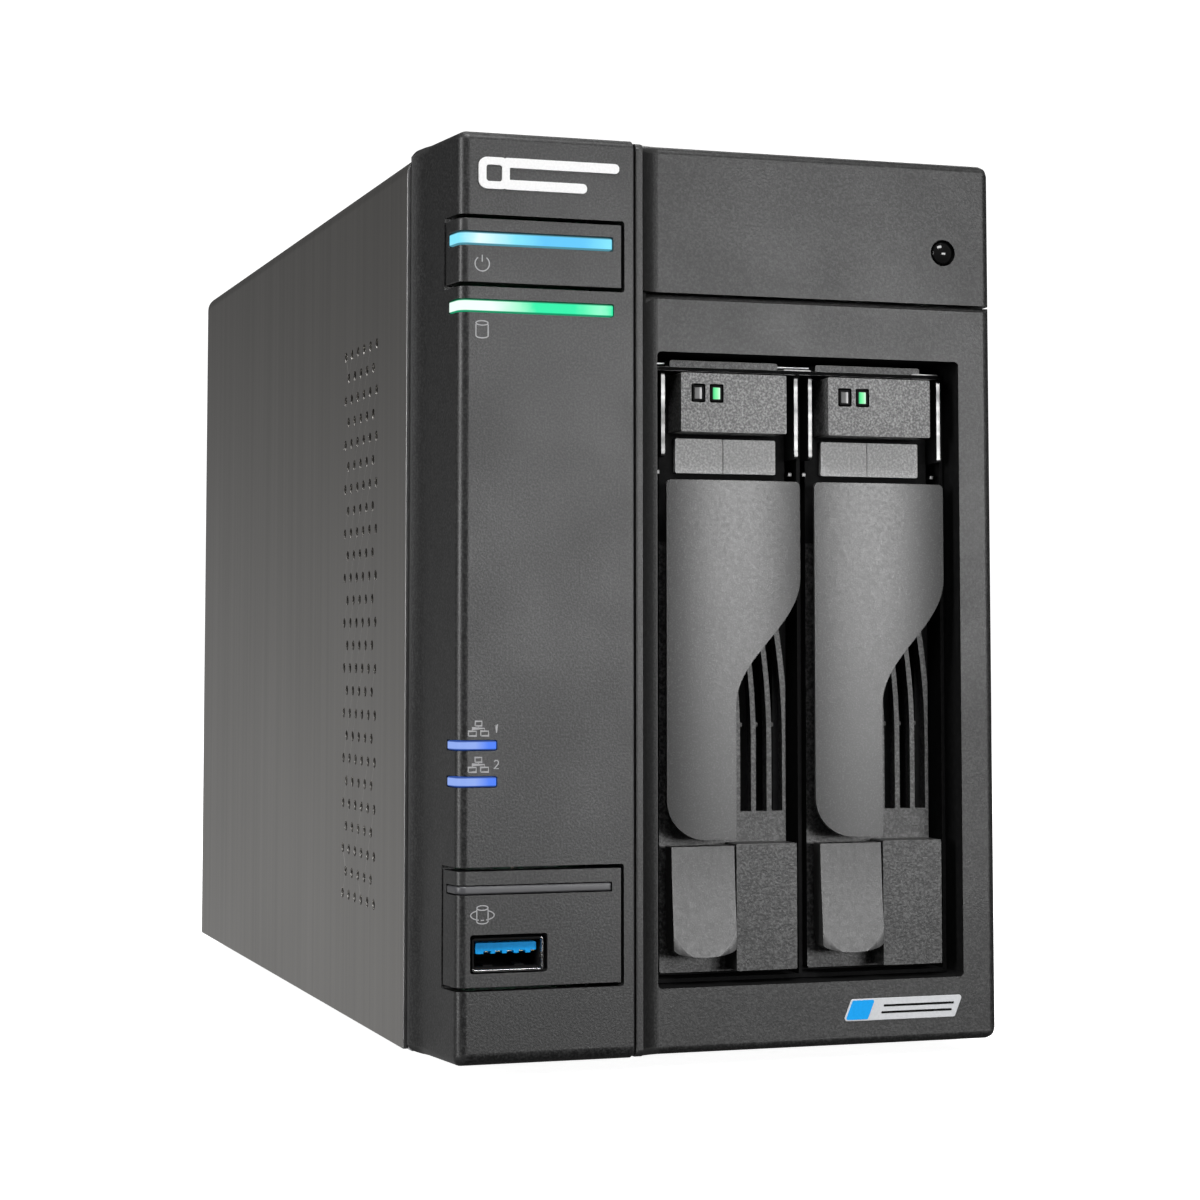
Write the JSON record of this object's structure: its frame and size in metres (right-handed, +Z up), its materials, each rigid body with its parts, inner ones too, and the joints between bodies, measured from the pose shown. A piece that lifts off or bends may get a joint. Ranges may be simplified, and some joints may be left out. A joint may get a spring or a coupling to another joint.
{
  "type": "network attached storage",
  "caption": "Desktop network storage box with a brushed metal cover, a control column with light bars, sliding drive trays with lever handles and a rear fan.",
  "frame": {"origin": "centre of the bounding box at the level of the table", "axes": "X from left to right seen from the front, +Y from front to back, +Z up"},
  "size_m": [0.108, 0.23, 0.1635],
  "materials": {
    "textured_plastic": "fine moulded texture",
    "column_plastic": "fine moulded texture",
    "glossy_black": "polished",
    "satin_grey": "satin",
    "light_grey": "fine moulded texture",
    "brushed_metal": "brushed, dark coated",
    "zinc_steel": "zinc plated",
    "black_plastic": "moulded",
    "cast_aluminium": "cast and machined",
    "circuit_board": "solder mask",
    "blue_light": "lit, translucent",
    "green_light": "lit, translucent",
    "unlit_light": "translucent",
    "port_blue": "moulded",
    "white_mark": "moulded",
    "badge_silver": "satin foil",
    "rubber": "matte"
  },
  "bodies": {
    "chassis": {"cover": "brushed_metal", "thumb_screw_left": "zinc_steel", "thumb_screw_right": "zinc_steel", "base_plate": "zinc_steel", "foot_front_left": "rubber", "foot_front_right": "rubber", "foot_rear_left": "rubber", "foot_rear_right": "rubber", "front_plate": "zinc_steel", "column_panel": "column_plastic", "bay_frame": "textured_plastic", "top_panel": "textured_plastic", "ir_lens": "glossy_black", "disk_light": "green_light", "lan_light_1": "blue_light", "lan_light_2": "blue_light", "front_usb_shell": "zinc_steel", "front_usb_tongue": "port_blue", "front_io_board": "circuit_board", "emblem": "white_mark", "badge": "badge_silver", "drive_cage": "zinc_steel", "backplane": "circuit_board", "sata_connector_left": "black_plastic", "sata_connector_right": "black_plastic", "motherboard": "circuit_board", "heatsink": "cast_aluminium", "memory_module": "circuit_board", "rear_lan_port_1": "zinc_steel", "rear_lan_port_2": "zinc_steel", "rear_usb_ports": "zinc_steel", "hdmi_port": "zinc_steel", "dc_inlet": "black_plastic", "rear_panel": "zinc_steel", "fan_frame": "black_plastic"},
    "power_key": {"power_button": "column_plastic", "power_light": "blue_light"},
    "copy_key": {"copy_button": "column_plastic", "copy_light": "unlit_light"},
    "reset_key": {"reset_button": "black_plastic"},
    "fan_wheel": {"fan_rotor": "black_plastic"},
    "left_tray": {"tray_frame_left": "zinc_steel", "tray_front_left": "textured_plastic", "hinge_cover_left": "light_grey", "lever_pin_left": "zinc_steel", "status_led_left": "unlit_light", "activity_led_left": "green_light", "hard_drive_left": "cast_aluminium"},
    "left_handle": {"lever_left": "satin_grey"},
    "left_release": {"release_button_left": "satin_grey"},
    "right_tray": {"tray_frame_right": "zinc_steel", "tray_front_right": "textured_plastic", "hinge_cover_right": "light_grey", "lever_pin_right": "zinc_steel", "status_led_right": "unlit_light", "activity_led_right": "green_light", "hard_drive_right": "cast_aluminium"},
    "right_handle": {"lever_right": "satin_grey"},
    "right_release": {"release_button_right": "satin_grey"}
  },
  "joints": [
    {"name": "left_tray_slide", "type": "slide", "parent": "chassis", "child": "left_tray", "axis": [0, -1, 0], "range_m": [0, 0.16]},
    {"name": "left_lever_hinge", "type": "hinge", "parent": "left_tray", "child": "left_handle", "pos_m": [0.0025, -0.1076, 0.1012], "axis": [-1, 0, 0], "range_deg": [0, 65]},
    {"name": "left_release_press", "type": "hinge", "parent": "left_tray", "child": "left_release", "pos_m": [-0.00335, -0.1071, 0.0373], "axis": [1, 0, 0], "range_deg": [0, 5], "stiffness_Nm_per_rad": 0.5},
    {"name": "right_tray_slide", "type": "slide", "parent": "chassis", "child": "right_tray", "axis": [0, -1, 0], "range_m": [0, 0.16]},
    {"name": "right_lever_hinge", "type": "hinge", "parent": "right_tray", "child": "right_handle", "pos_m": [0.031, -0.1076, 0.1012], "axis": [-1, 0, 0], "range_deg": [0, 65]},
    {"name": "right_release_press", "type": "hinge", "parent": "right_tray", "child": "right_release", "pos_m": [0.02515, -0.1071, 0.0373], "axis": [1, 0, 0], "range_deg": [0, 5], "stiffness_Nm_per_rad": 0.5},
    {"name": "power_press", "type": "slide", "parent": "chassis", "child": "power_key", "axis": [0, 1, 0], "range_m": [0, 0.0006], "stiffness_N_per_m": 4000},
    {"name": "copy_press", "type": "slide", "parent": "chassis", "child": "copy_key", "axis": [0, 1, 0], "range_m": [0, 0.0006], "stiffness_N_per_m": 4000},
    {"name": "reset_press", "type": "slide", "parent": "chassis", "child": "reset_key", "axis": [0, -1, 0], "range_m": [0, 0.0004], "stiffness_N_per_m": 2000},
    {"name": "fan_spin", "type": "hinge", "parent": "chassis", "child": "fan_wheel", "pos_m": [0.0174, 0.0974, 0.07], "axis": [0, 1, 0], "continuous": true}
  ]
}
